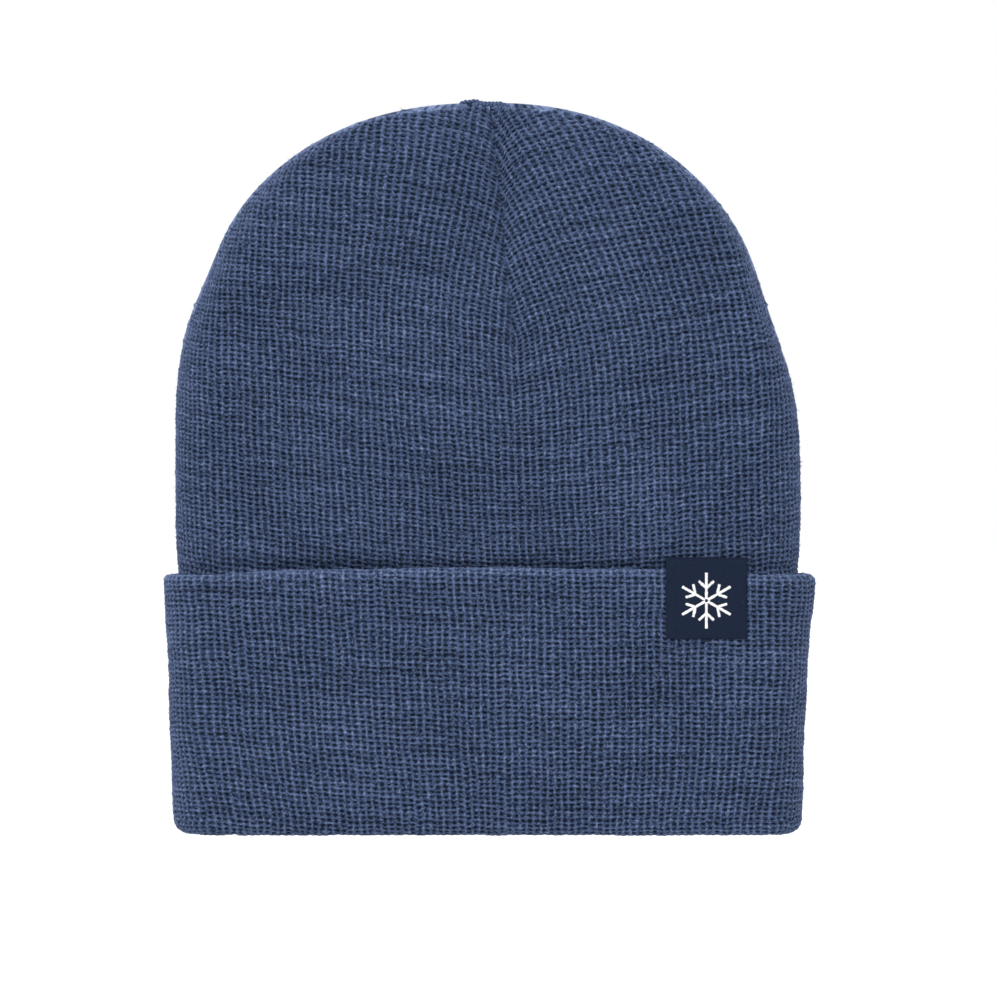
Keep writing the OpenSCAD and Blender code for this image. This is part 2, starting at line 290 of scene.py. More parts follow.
def finish_mesh(name, mesh, uvs, body):
    if uvs is not None:
        layer = mesh.uv_layers.new(name="knit")
        corner = np.empty(len(mesh.loops), dtype=np.int32)
        mesh.loops.foreach_get("vertex_index", corner)
        layer.data.foreach_set("uv", np.asarray(uvs, dtype=np.float32)[corner].ravel())
    mesh.polygons.foreach_set("use_smooth", np.ones(len(mesh.polygons), dtype=bool))
    mesh.validate()
    mesh.update()
    piece = bpy.data.objects.new(name, mesh)
    bpy.context.scene.collection.objects.link(piece)
    if body is not None:
        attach(piece, body)
    return piece


def loose_fibres(points, uvs, faces, seed):
    """Adds short hairs, each a ribbon of five points. Gives all points and uvs, and the hairs' faces."""
    draw = np.random.default_rng(seed)
    a, b, c = (points[faces[:, k]] for k in range(3))
    cross = np.cross(b - a, c - a)
    area = np.linalg.norm(cross, axis=1)
    count = int(area.sum() * FIBRES_PER_MM2)
    pick = draw.choice(len(faces), count, p=area / area.sum())
    normal = cross[pick] / area[pick, None]
    length = draw.uniform(FIBRE_SHORT, FIBRE_LONG, (count, 1))
    sweep = draw.normal(0, 1, (count, 3))
    sweep -= (sweep * normal).sum(axis=1, keepdims=True) * normal
    sweep /= np.linalg.norm(sweep, axis=1, keepdims=True)
    curl = draw.normal(0, 0.5, (count, 3))
    side = np.cross(sweep, normal) * FIBRE_WIDE / 2
    root = a[pick] - normal * FIBRE_ROOT
    middle, tip = (root + length * (out * normal + along * sweep + bent * curl)
                   for out, along, bent in (FIBRE_MIDDLE, FIBRE_TIP))
    ribbons = np.stack([root - side, root + side, middle + side, middle - side, tip], axis=1).reshape(-1, 3)
    points = np.concatenate([points, ribbons])
    start = len(points) - len(ribbons) + 5 * np.arange(count)[:, None]
    uvs = np.concatenate([uvs, np.repeat(uvs[faces[pick, 0]], 5, axis=0)])
    return points, uvs, start + np.array([[0, 1, 2, 3]]), start + np.array([[3, 2, 4]])


def grid_mesh(name, points, uvs, keep, row_of, body, flip, wear_and_painted_light=None, hairy=False):
    """A mesh from a grid of points. row_of gives the row whose point each corner really uses.
    Its colour shift at each point: paler where rubbed, painted highlight along edges and loose fibres, painted
    shade in creases."""
    rows, cols = points.shape[:2]
    index = row_of * cols + np.arange(cols)[None, :]
    a, b = index[:-1, :-1], index[:-1, 1:]
    c, d = index[1:, 1:], index[1:, :-1]
    left_open, right_open = a != d, b != c
    quads = (left_open & right_open & keep)
    only_left = (left_open & ~right_open & keep)
    only_right = (~left_open & right_open & keep)
    sides = [np.stack([a[quads], b[quads], c[quads], d[quads]], axis=1),
             np.stack([a[only_left], b[only_left], d[only_left]], axis=1),
             np.stack([a[only_right], b[only_right], c[only_right]], axis=1)]
    if flip:
        sides = [s[:, ::-1] for s in sides]
    used = np.unique(np.concatenate([s.ravel() for s in sides]))
    renumber = np.zeros(rows * cols, dtype=np.int32)
    renumber[used] = np.arange(len(used))
    sides = [renumber[s] for s in sides]
    points, uvs = points.reshape(-1, 3)[used], uvs.reshape(-1, 2)[used]
    rubbed_and_painted_light = np.zeros(len(points)) if wear_and_painted_light is None else wear_and_painted_light.ravel()[used]
    if hairy:
        points, uvs, roots, tips = loose_fibres(points, uvs, sides[0], len(points))
        # The loose fibres are painted lighter, a painted highlight
        rubbed_and_painted_light = np.concatenate([rubbed_and_painted_light, np.full(len(points) - len(rubbed_and_painted_light), FIBRE_PAINTED_HIGHLIGHT)])
        sides += [roots, tips]
    corners = np.concatenate([s.ravel() for s in sides]).astype(np.int32)
    sizes = np.concatenate([np.full(len(s), s.shape[1]) for s in sides]).astype(np.int32)
    starts = np.concatenate([[0], np.cumsum(sizes)[:-1]]).astype(np.int32)
    mesh = bpy.data.meshes.new(name)
    mesh.vertices.add(len(points))
    mesh.vertices.foreach_set("co", (points * MM).astype(np.float32).ravel())
    mesh.loops.add(len(corners))
    mesh.loops.foreach_set("vertex_index", corners)
    mesh.polygons.add(len(sizes))
    mesh.polygons.foreach_set("loop_start", starts)
    mesh.polygons.foreach_set("loop_total", sizes)
    mesh.update(calc_edges=True)
    mesh.attributes.new("wear_and_painted_light", "FLOAT", "POINT").data.foreach_set("value", rubbed_and_painted_light.astype(np.float32))
    return finish_mesh(name, mesh, uvs, body)


def leaning(z, heights):
    """How far a rib has run sideways by height z, for each unit of its full slant."""
    fine = np.linspace(heights[0][0], CROWN_TOP, 200)
    share = np.interp(fine, [h for h, _ in heights], [v for _, v in heights])
    run = np.concatenate([[0], np.cumsum((share[1:] + share[:-1]) / 2 * np.diff(fine))])
    return np.interp(z, fine, run)


# How far the courses rise from the darts to each side, and the share, start and span of that rise
COURSE_LIFT = {LEFT: 18.0, RIGHT: 24.0}
LIFT_GROWS = {LEFT: (0.5, 20.0, 90.0), RIGHT: (0.15, 40.0, 175.0)}
# Low down the rise is softened near the dart by this many millimetres, until the height and over the span
SOFTENED, SOFTENED_FROM, SOFTENED_SPAN = 30, 80, 95
# From here up, over this span, part of the rise happens close to the dart
CURL_FROM, CURL_SPAN = 115, 50
# Below this height, over this span, that part spreads out by this much more
CURL_SPREAD, CURL_SPREAD_BELOW, CURL_SPREAD_SPAN = 1.2, 150, 60
# How much of their full slant the crown's ribs have at each height
LEAN_HEIGHTS = {
    LEFT: [(140, 0.0), (160, 0.15), (176, 0.6), (192, 1.0), (237, 1.0)],
    RIGHT: [(135, 0.0), (150, 0.12), (160, 0.30), (176, 0.72), (192, 0.88), (205, 1.0), (220, 1.12),
            (237, 1.2)],
}
# The front's ribs slant a little, and at this height each is at its own place
SKEW_FROM = 86.0
# How far from the dart a rib's lean goes on changing. The ribs nearest it, this close, start to lean only at
# its lower end, over this height.
LEAN_SPAN, LEAN_NEAR, LEAN_START = 90.0, 12, 10
# Depth of the lining's inner face below the outside in the tube, and how much deeper it gets in the crown
LINING_TUBE, LINING_STEP = WALL_T, 2.4
LINING_STEP_FROM, LINING_STEP_SPAN = 150.0, 16.0
DART_RIBS = 5
# The darts' and seams' detail starts this far below the darts and is full after this span
DETAIL_BELOW, DETAIL_SPAN = 8, 14
# How far in from the outline the creases and the slow sway are at full strength
FULL_INSIDE = 6
# The crown's darts: the crease's depth and width, and the height, width and distance of the swell beside it
CREASE, CREASE_WIDE = 0.95, 1.3
SHOULDER, SHOULDER_WIDE, SHOULDER_AT = 0.3, 1.5, 3.0
# The crown's side seam lies in the plane y = 0. This share of a stitch's depth counts as distance from it.
SEAM_SPREAD = 0.5
# The seam's ridge, the groove beside it and a lower ridge beyond: the height, width and distance of each
RIDGE, RIDGE_WIDE = 1.1, 0.9
GROOVE, GROOVE_WIDE, GROOVE_AT = 0.4, 0.5, 1.5
LOWER_RIDGE, LOWER_RIDGE_WIDE, LOWER_RIDGE_AT = 0.6, 0.7, 2.5
# How much of the stitches' relief the seam takes away, how uneven it is, and how far it draws the wall in
SEAM_FLATTENS, SEAM_UNEVEN = 0.6, 0.25
DRAWN_IN, DRAWN_IN_WIDE = 0.7, 8
# Where the seam is rubbed pale and painted lighter as a highlight: the width on its ridge, and the strength,
# width and distance beyond
SEAM_WEAR_AND_HIGHLIGHT_WIDE = 1.2
LOWER_WEAR_AND_HIGHLIGHT, LOWER_WEAR_AND_HIGHLIGHT_WIDE, LOWER_WEAR_AND_HIGHLIGHT_AT = 0.7, 0.6, 2.4
# The front and the back meet at the outline, so their relief fades out over this last distance
JOIN_WIDE = 0.8
# How far the cuff's edge squeezes the cap's wall in, how far above the edge, over what height, and what share
# of that is left at the outline, growing to all of it this far in
SQUEEZED, SQUEEZE_ABOVE, SQUEEZE_HIGH = 1.8, 0.6, 2.3
SQUEEZED_SIDE, SQUEEZE_FULL = 0.15, 9


class Quarter:
    """A quarter of the cap's outer knit: where each rib and course lies between a dart and the outline."""

    def __init__(self, side, face, split, lean_near, lean_far, extra, decay, skew):
        self.side, self.face, self.split, self.skew = side, face, split, skew
        self.lean_near, self.lean_far = math.radians(lean_near), math.radians(lean_far)
        self.extra, self.decay = extra, decay
        self.surface = CapSurface(side, face)
        self.span = (CAP_RIBS + SIDE_RIBS - split) * CAP_RIB

    def dart_out(self, z):
        """How far out from the middle the dart runs, measured towards this side."""
        start = self.side * self.split_x(DART_BOTTOM)
        if self.face == BACK:
            return np.zeros_like(z)
        return start * (1 - DART_CLOSES * (z - DART_BOTTOM) / (CROWN_TOP - DART_BOTTOM))

    def split_x(self, z):
        """Where the rib that meets the dart's lower end runs."""
        return self.side * self.split * CAP_RIB - self.skew * (z - SKEW_FROM)

    def lean(self, away):
        """How far a rib leans towards the dart, from how far off it starts."""
        return self.lean_near + (self.lean_far - self.lean_near) * ramp(away / LEAN_SPAN)

    def lift(self, away, level):
        """How far a course has risen above its height at the dart."""
        total = COURSE_LIFT[self.side]
        least, start, span = LIFT_GROWS[self.side]
        grown = least + (1 - least) * ramp((level - start) / span)
        soften = 0.01 + SOFTENED * (1 - ramp((level - SOFTENED_FROM) / SOFTENED_SPAN))
        even = (np.hypot(away, soften) - soften) / (np.hypot(self.span, soften) - soften)
        left = np.maximum(away - np.tan(self.lean(away)) * leaning(level, LEAN_HEIGHTS[self.side]), 0)
        spread = CURL_SPREAD * (1 - ramp((level - CURL_SPREAD_BELOW) / CURL_SPREAD_SPAN))
        decay = self.decay * (1 + spread)
        curl = self.extra * (1 - np.exp(-left / decay))
        curled = (total - self.extra) / total * away / self.span + curl / total
        crown = ramp((level - CURL_FROM) / CURL_SPAN)
        return total * grown * (even * (1 - crown) + curled * crown)

    def place(self, ribs, level):
        """The distance out and the height of a stitch, from its rib and its course's height at the dart."""
        away = (ribs - self.split) * CAP_RIB
        z = level + self.lift(away, level)
        low_z = np.minimum(z, DART_BOTTOM)
        arc = quarter_arc(half_width(self.side, low_z) - PANEL_HALF, half_depth(low_z))
        out = np.where(ribs <= CAP_RIBS, ribs * CAP_RIB, PANEL_HALF + (ribs - CAP_RIBS) / SIDE_RIBS * arc)
        share = ribs / (CAP_RIBS + SIDE_RIBS)
        out = out - self.side * self.skew * (z - SKEW_FROM) * (1 - share * share)
        apart = ramp(away / LEAN_NEAR)
        started = apart + (1 - apart) * ramp((z - DART_BOTTOM) / LEAN_START)
        return out - np.tan(self.lean(away)) * leaning(z, LEAN_HEIGHTS[self.side]) * started, z

    def outside(self, ribs, level):
        out, z = self.place(ribs, level)
        past = (out < self.dart_out(z) - 1e-6) | (out > self.surface.reach(z))
        return ((z > DART_BOTTOM) & past) | (z > CROWN_TOP - 0.03)

    def below(self, ribs, level):
        return self.place(ribs, level)[1] < WALL_BOTTOM

    def meet(self, test, ribs, inside, beyond):
        """The level at which each rib crosses an edge, between one level inside it and one beyond."""
        for _ in range(36):
            middle = (inside + beyond) / 2
            hit = test(ribs, middle)
            beyond = np.where(hit, middle, beyond)
            inside = np.where(hit, inside, middle)
        return inside

    def stretch_to_side(self, across, out, z):
        """Spreads the outermost ribs to reach the side seam where they would lean away from it."""
        short = np.maximum(self.surface.reach(z[:, -1]) - out[:, -1], 0)
        shared = ramp((across - across[0, -1] + SIDE_RIBS) / SIDE_RIBS)
        spread = np.minimum(out + short[:, None] * shared, self.surface.reach(z))
        return np.where(z > DART_BOTTOM - 4, spread, out)

    def lay_out(self, per):
        """The grid of stitches, cut off where it meets the brim, the dart and the outline. Gives each point's
        rib, its level, the row whose point it really uses, and the row where the darts start."""
        columns = int((CAP_RIBS + SIDE_RIBS - self.split) * per) + 1
        ribs = self.split + np.arange(columns) / per
        first = math.floor(course_number(WALL_BOTTOM - COURSE_LIFT[self.side]))
        rows = int((course_number(CROWN_TOP) - first + 1) * per)
        courses = first + np.arange(rows) / per
        level = np.repeat(course_level(courses)[:, None], columns, axis=1)
        across = np.repeat(ribs[None, :], rows, axis=0)

        low, high = self.below(across, level), self.outside(across, level)
        bottom_row = low.sum(axis=0)
        top_row = np.argmax(high, axis=0)
        pick = np.arange(columns)
        bottom = -self.meet(lambda r, v: self.below(r, -v), ribs, -level[bottom_row, pick],
                            -level[bottom_row - 1, pick])
        top = self.meet(self.outside, ribs, level[top_row - 1, pick], level[top_row, pick])
        level = np.clip(level, bottom[None, :], top[None, :])
        row_of = np.clip(np.arange(rows)[:, None], (bottom_row - 1)[None, :], top_row[None, :])
        split_row = int((math.floor(course_number(DART_BOTTOM)) - first) * per)
        return across, level, row_of, split_row

    def raised(self, across, course, out, z, base):
        """How far the knit stands off the cap's surface, with its creases and seams, and how its colour
        shifts: rubbed paler and painted highlight along the seam, painted shade in the dart's crease.
        """
        crown = ramp((z - DART_BOTTOM + DETAIL_BELOW) / DETAIL_SPAN)
        to_dart = np.abs(out - self.dart_out(z))
        to_side = self.surface.from_outline(base[..., 0], z)
        to_seam = np.hypot(to_side, SEAM_SPREAD * base[..., 1])
        at_dart = crown * bell(to_dart, CREASE_WIDE) * ramp((to_side - 1) / FULL_INSIDE)
        seam = bell(to_seam, RIDGE_WIDE) + LOWER_RIDGE * bell(to_seam, LOWER_RIDGE_WIDE, LOWER_RIDGE_AT)
        seam = crown * seam
        joined = ramp((self.surface.reach(z) - out) / JOIN_WIDE)

        height = relief(*wander(across, course)) * (1 - at_dart)
        height *= (1 - SEAM_FLATTENS * np.minimum(seam, 1)) * joined
        height -= DRAWN_IN * crown * (1 - ramp(to_side / DRAWN_IN_WIDE))
        height += RIDGE * seam - GROOVE * crown * bell(to_seam, GROOVE_WIDE, GROOVE_AT)
        uneven = yarn_noise(across * 1.3, course * 1.3, SEAM_SEED)
        height += SEAM_UNEVEN * seam * joined * uneven - CREASE * at_dart
        height += SHOULDER * crown * bell(to_dart, SHOULDER_WIDE, SHOULDER_AT)
        height += sway(base[..., 0], base[..., 2]) * ramp(to_side / FULL_INSIDE)
        squeezed = bell(z - EDGE_Z - EDGE_R - SQUEEZE_ABOVE, SQUEEZE_HIGH)
        height -= SQUEEZED * squeezed * (SQUEEZED_SIDE + (1 - SQUEEZED_SIDE) * ramp(to_side / SQUEEZE_FULL))

        # The seam is rubbed paler and also painted lighter, a painted highlight where the curving outline
        # turns from the light
        rubbed_and_painted_light = bell(to_seam, SEAM_WEAR_AND_HIGHLIGHT_WIDE) + LOWER_WEAR_AND_HIGHLIGHT * bell(to_seam, LOWER_WEAR_AND_HIGHLIGHT_WIDE, LOWER_WEAR_AND_HIGHLIGHT_AT)
        rubbed_and_painted_light *= 0.75 + 0.55 * yarn_noise(across * 2.1, course * 1.7, WEAR_AND_HIGHLIGHT_SEED)
        # The dart's crease is painted darker, a painted shade
        return height, crown * rubbed_and_painted_light - 0.2 * at_dart

    def build(self, names, lining):
        """Two pieces: the tube below the darts and the gore above them. The lining is smooth and coarser."""
        across, level, row_of, split_row = self.lay_out(LINING_PER_RIB if lining else PER_RIB)
        out, z = self.place(across, level)
        out = self.stretch_to_side(across, out, z)
        course = course_number(level)
        inset = LINING_TUBE + LINING_STEP * ramp((z - LINING_STEP_FROM) / LINING_STEP_SPAN) if lining else 0.0
        surface = CapSurface(self.side, self.face, inset)
        base = surface.point(out, z)
        height, wear_and_painted_light = self.raised(across, course, out, z, base)
        points = base if lining else base + surface.normal(out, z) * height[..., None]
        rib_at, course_at = wander(across, course)
        uvs = np.stack([rib_at * self.side + (0 if self.face == FRONT else BACK_UV), course_at], axis=-1)

        order = np.repeat(np.arange(len(across) - 1)[:, None], across.shape[1] - 1, axis=1)
        flip = (self.side * self.face > 0) != lining
        return [grid_mesh(name, points, uvs, keep, row_of, "cap", flip, wear_and_painted_light, not lining)
                for name, keep in zip(names, (order < split_row, order >= split_row))]


QUARTERS = {
    "front_left": Quarter(LEFT, FRONT, -DART_RIBS, 15, 2, 9.5, 16, 0.045),
    "front_right": Quarter(RIGHT, FRONT, DART_RIBS, 27, 17, 8.0, 10, 0.045),
    "back_left": Quarter(LEFT, BACK, 0, 18, 9, 6.0, 20, 0.0),
    "back_right": Quarter(RIGHT, BACK, 0, 18, 9, 6.0, 20, 0.0),
}


def knit_sheet(name, body, rib_span, run, lift, locate, shape=None, press=None, hairy=False):
    """A sheet of the cuff's knit over a span of ribs and a run of millimetres up the sheet.
    locate(rib, s) gives points and normals, s being the millimetres up."""
    first_rib, last_rib = rib_span
    low, high = run
    per = CUFF_PER_RIB
    columns = int(round((last_rib - first_rib) * per)) + 1
    ribs = np.linspace(first_rib, last_rib, columns)
    lifts = lift(ribs)
    first = math.floor((low - lifts.max()) / COURSE) - 1
    last = math.ceil((high - lifts.min()) / COURSE) + 1
    courses = first + np.arange((last - first) * per + 1) / per
    s = courses[:, None] * COURSE + lifts[None, :]
    bottom_row, top_row = (s < low).sum(axis=0), (s <= high).sum(axis=0)
    row_of = np.clip(np.arange(len(courses))[:, None], (bottom_row - 1)[None, :], top_row[None, :])
    s = np.clip(s, low, high)
    across = np.repeat(ribs[None, :], len(courses), axis=0)
    course = (s - lifts[None, :]) / COURSE
    rib_at, course_at = wander(cuff_pattern(across, s), course)
    base, normal = locate(across, s)
    swell = sway(across * RIB, s)
    if shape is not None:
        swell = swell + shape(across, s)
    height = relief(rib_at, course_at) + swell * (1 - TURN_STEADY * np.abs(normal[..., 2]))
    if press is not None:
        flat = press(across, s)
        height = height * (1 - flat) - PRESSED * flat
    points = base + normal * height[..., None]
    uvs = np.stack([rib_at, course_at], axis=-1)
    keep = np.ones((len(courses) - 1, columns - 1), dtype=bool)
    # The turn over the cuff's top edge is painted lighter, a painted highlight
    wear_and_painted_light = CUFF_EDGE_PAINTED_HIGHLIGHT * ramp((s - FACE_LENGTH + 1.5) / 2.5) * ramp((TURN_END - s) / 2)
    return grid_mesh(name, points, uvs, keep, row_of, body, False, wear_and_painted_light, hairy)


# The label: its front face, the arch over the cuff's edge and the short leg behind
LABEL_T = 0.5
LABEL_X = (label_low[0] + label_high[0]) / 2
LABEL_W = label_high[0] - label_low[0]
LABEL_TOP, LABEL_BOTTOM = label_high[2], label_low[2]
LABEL_FRONT_Y, LABEL_BACK_Y = label_low[1], label_high[1]
LABEL_TAIL = 10.0
LABEL_GRID = (172, 108)
# How far the knit under the label is pressed in
PRESSED = 0.25

# The cuff's profile, measured up from its lower edge: the outer face, the turn over the top, the inner face
FACE_LENGTH = EDGE_Z - WALL_BOTTOM
EDGE_R = WALL_T / 2
EDGE_TURN = math.pi * EDGE_R
FOLD_R = HINGE_Y - BRIM_DEPTH + WALL_T
BORE_R = HINGE_Y - BRIM_DEPTH
ROUND_RIBS = 2 * SIDE_RIBS
BACK_FIRST = PANEL_RIBS + ROUND_RIBS
BACK_MIDDLE = BACK_FIRST + PANEL_RIBS
# The cuff's ribs slant a little, and draw in towards the fold
CUFF_SLANT = 0.033
CUFF_DRAW, FOLD_DRAW, FOLD_DRAW_HEIGHT = 0.0004, 0.0016, 45.0
# Its courses fall to the right, then level out
CUFF_TILT, CUFF_BEND, CUFF_LEVEL_X = -0.028, 0.00055, 50.0
# Its top edge rises in the middle and sags towards the sides, is painted lighter as a highlight, and where it
# turns over it keeps its height against the slow swell
EDGE_RISE, EDGE_SAG = 0.5, 1.6
CUFF_EDGE_PAINTED_HIGHLIGHT = 0.30
TURN_STEADY = 0.85


def front_pattern(x, s):
    """Which rib passes through a point on the cuff's front, by following it up to the cuff's edge."""
    s = np.clip(s, -15, FACE_LENGTH)
    low = np.clip(s / FOLD_DRAW_HEIGHT, 0, 1)
    drawn = FOLD_DRAW * FOLD_DRAW_HEIGHT * (0.5 - low + low ** 3 - low ** 4 / 2)
    drawn = drawn + CUFF_DRAW * (FACE_LENGTH - np.maximum(s, 0))
    return (x * (1 + drawn) - CUFF_SLANT * (FACE_LENGTH - s)) / RIB


def cuff_pattern(rib, s):
    """The same for the whole cuff: the sides and the back carry on from the front's two ends."""
    right = front_pattern(PANEL_HALF, s) - PANEL_RIBS
    left = front_pattern(-PANEL_HALF, s) + PANEL_RIBS
    share = (rib - BACK_FIRST) / (2 * PANEL_RIBS)
    behind = rib + right + (left - right) * share
    beside = np.where(rib < 0, rib + left, rib + right)
    front = front_pattern(rib * RIB, s)
    return np.where(np.abs(rib) <= PANEL_RIBS, front, np.where(rib > BACK_FIRST, behind, beside))


def under_label(rib, s):
    """1 where the label lies on the cuff, falling to 0 round it."""
    beside = ramp((LABEL_W / 2 + 0.6 - np.abs(rib * RIB - LABEL_X)) / 1.2)
    above = ramp((s - (LABEL_BOTTOM - WALL_BOTTOM) + 0.6) / 1.2)
    below = ramp((TURN_END + LABEL_TAIL + 1 - s) / 2)
    return beside * above * below


def settle(rib, z):
    """The cuff's top edge sags a little towards each side."""
    across = np.where(rib > BACK_FIRST, np.abs(rib - BACK_MIDDLE), np.abs(rib))
    share = np.clip(across / PANEL_RIBS, 0, 1)
    lift = np.clip((z - WALL_BOTTOM) / FACE_LENGTH, 0, 1.1) ** 2
    return z + lift * (EDGE_RISE - (EDGE_RISE + EDGE_SAG) * share ** 2.5 + 0.15 * np.sin(0.23 * rib + 2.0))


def cuff_profile(s):
    """How far out from the edge's centre, how high, and which way the cuff faces."""
    turn = np.clip((s - FACE_LENGTH) / EDGE_R, 0, math.pi)
    past = np.maximum(s - FACE_LENGTH - EDGE_TURN, 0)
    off = EDGE_R * np.cos(turn)
    z = WALL_BOTTOM + np.minimum(s, FACE_LENGTH) + EDGE_R * np.sin(turn) - past
    return off, z, np.cos(turn), np.sin(turn)


def fold_profile(s):
    """The same for the bottom fold, from the cuff's side (s = 0) round to the cap's side (s below 0)."""
    turn = np.clip(-s / FOLD_R, 0, math.pi)
    return FOLD_R * np.cos(turn), HINGE_Z - FOLD_R * np.sin(turn), np.cos(turn), -np.sin(turn)


def on_panel(profile, centre_y, face, middle=0):
    """Places the profile on the flat front or back of the cuff."""
    def locate(rib, s):
        across = (rib - middle) * -face
        off, z, out, up = profile(s)
        x = across * RIB + 0 * s
        y = face * (centre_y + off)
        return np.stack([x, y, settle(rib, z)], axis=-1), np.stack([0 * x, face * out, up], axis=-1)
    return locate


def on_side(profile, centre_y, centre_x, side):
    """Leads the profile round a side of the cuff, along half an ellipse."""
    def locate(rib, s):
        off, z, out, up = profile(s)
        reach_x = centre_x(z) - PANEL_HALF
        share = 1 - np.abs((np.abs(rib) - PANEL_RIBS) / SIDE_RIBS - 1)
        behind = np.where(np.abs(rib) > PANEL_RIBS + SIDE_RIBS, BACK, FRONT)
        angle = arc_angle(share, reach_x + off, centre_y + off)
        nx, ny = np.sin(angle) / reach_x, np.cos(angle) / centre_y
        length = np.hypot(nx, ny)
        nx, ny = nx / length, ny / length
        x = PANEL_HALF + reach_x * np.sin(angle) + off * nx
        y = behind * (centre_y * np.cos(angle) + off * ny)
        points = np.stack([side * x, y, settle(rib, z)], axis=-1)
        return points, np.stack([side * nx * out, behind * ny * out, up + 0 * nx], axis=-1)
    return locate


def cuff_centre_x(side):
    return lambda z: half_width(side, z) + CUFF_GAP + EDGE_R


def fold_centre_x(side):
    return lambda z: half_width(side, np.float64(HINGE_Z)) + BORE_R + 0 * z


def front_lift(ribs):
    """The cuff's courses fall a little to the right on its front, and keep level round the sides."""
    x = np.clip(ribs, -PANEL_RIBS, PANEL_RIBS) * RIB
    curved = np.minimum(x, CUFF_LEVEL_X)
    return CUFF_TILT * curved + CUFF_BEND * curved * curved


def back_lift(ribs):
    ends = front_lift(np.array([PANEL_RIBS, -PANEL_RIBS], dtype=float))
    return ends[0] + (ends[1] - ends[0]) * (ribs - BACK_FIRST) / (2 * PANEL_RIBS)


def soft_edge(rib, s):
    """The cuff bulges a little under its top edge."""
    top = ramp((s - FACE_LENGTH + 16) / 14) * ramp((FACE_LENGTH + EDGE_TURN + 8 - s) / 8)
    return top * (0.35 + 0.3 * np.sin(0.31 * rib + 0.4) * np.sin(0.13 * rib + 1.1))


# The cuff's front and back: the first and last rib of each, which way it faces, its middle rib and its
# courses' rise
PANELS = {
    "front": (-PANEL_RIBS, PANEL_RIBS, FRONT, 0, front_lift),
    "back": (BACK_FIRST, BACK_FIRST + 2 * PANEL_RIBS, BACK, BACK_MIDDLE, back_lift),
}
SIDES = {"left": LEFT, "right": RIGHT}
TURN_END = FACE_LENGTH + EDGE_TURN
INNER_END = TURN_END + FACE_LENGTH


def declare(piece):
    layer = np.empty(len(piece.data.loops) * 2, dtype=np.float32)
    piece.data.uv_layers["knit"].data.foreach_get("uv", layer)
    uv = layer.reshape(-1, 2).astype(float)
    starts = np.empty(len(piece.data.polygons), dtype=np.int32)
    piece.data.polygons.foreach_get("loop_start", starts)
    following = np.arange(len(uv)) + 1
    following[np.append(starts[1:], len(uv)) - 1] = starts


def cap_layer(names, tube_node, gore_node, lining=False):
    """A layer of the cap, outside or lining: a tube and a gore for each quarter."""
    pieces = []
    for name, quarter in QUARTERS.items():
        face, side = name.split("_")
        tube, gore = quarter.build([pattern.format(name) for pattern in names], lining)
        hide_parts(f"{tube_node}_{face}", f"{tube_node}_{side}")
        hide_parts(f"{gore_node}_{name}")
        declare(tube)
        declare(gore)
        pieces += [tube, gore]
    return pieces


def around(profile, centre_y, centre_x):
    """Leads a profile round the cap. For each side: its name, its ribs, their places, their courses' rise."""
    for name, (first, last, face, middle, lift) in PANELS.items():
        yield name, (first, last), on_panel(profile, centre_y, face, middle), lift
    for name, side in SIDES.items():
        ribs = sorted((side * PANEL_RIBS, side * BACK_FIRST))
        yield name, ribs, on_side(profile, centre_y, centre_x(side), side), front_lift


def cuff():
    """The turned-up cuff: on each side an outer piece with the top edge, and an inner piece."""
    pieces = []
    for name, ribs, locate, lift in around(cuff_profile, CUFF_INNER_Y + EDGE_R, cuff_centre_x):
        body = f"cuff_{name}"
        press = under_label if name == "front" else None
        outer = knit_sheet(f"{body}_knit", body, ribs, (0, TURN_END), lift, locate, soft_edge, press, True)
        inner = knit_sheet(f"{body}_inner_knit", body, ribs, (TURN_END, INNER_END), lift, locate, None, press)
        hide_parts(f"{body}_outer", f"{body}_edge")
        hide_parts(f"{body}_inner")
        for piece in (outer, inner):
            if name in SIDES:
                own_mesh(piece)
            declare(piece)
            pieces.append(piece)
    return pieces


def folds():
    """The bottom fold: two flat lengths that bend between the cap and the cuff, and two rounded ends."""
    pieces = []
    for name, ribs, locate, lift in around(fold_profile, HINGE_Y, fold_centre_x):
        body = "cap" if name in SIDES else None
        piece = knit_sheet(f"fold_{name}_knit", body, ribs, (-math.pi * FOLD_R, 0), lift, locate)
        if name in SIDES:
            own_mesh(piece)
        else:
            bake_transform(piece)
        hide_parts(f"fold_{name}")
        declare(piece)
        pieces.append(piece)
    return pieces


# In a plied thread: each ply's radius and its distance from the middle, as shares of the thread's radius
PLY_SHARE, PLY_OUT = 0.62, 0.5


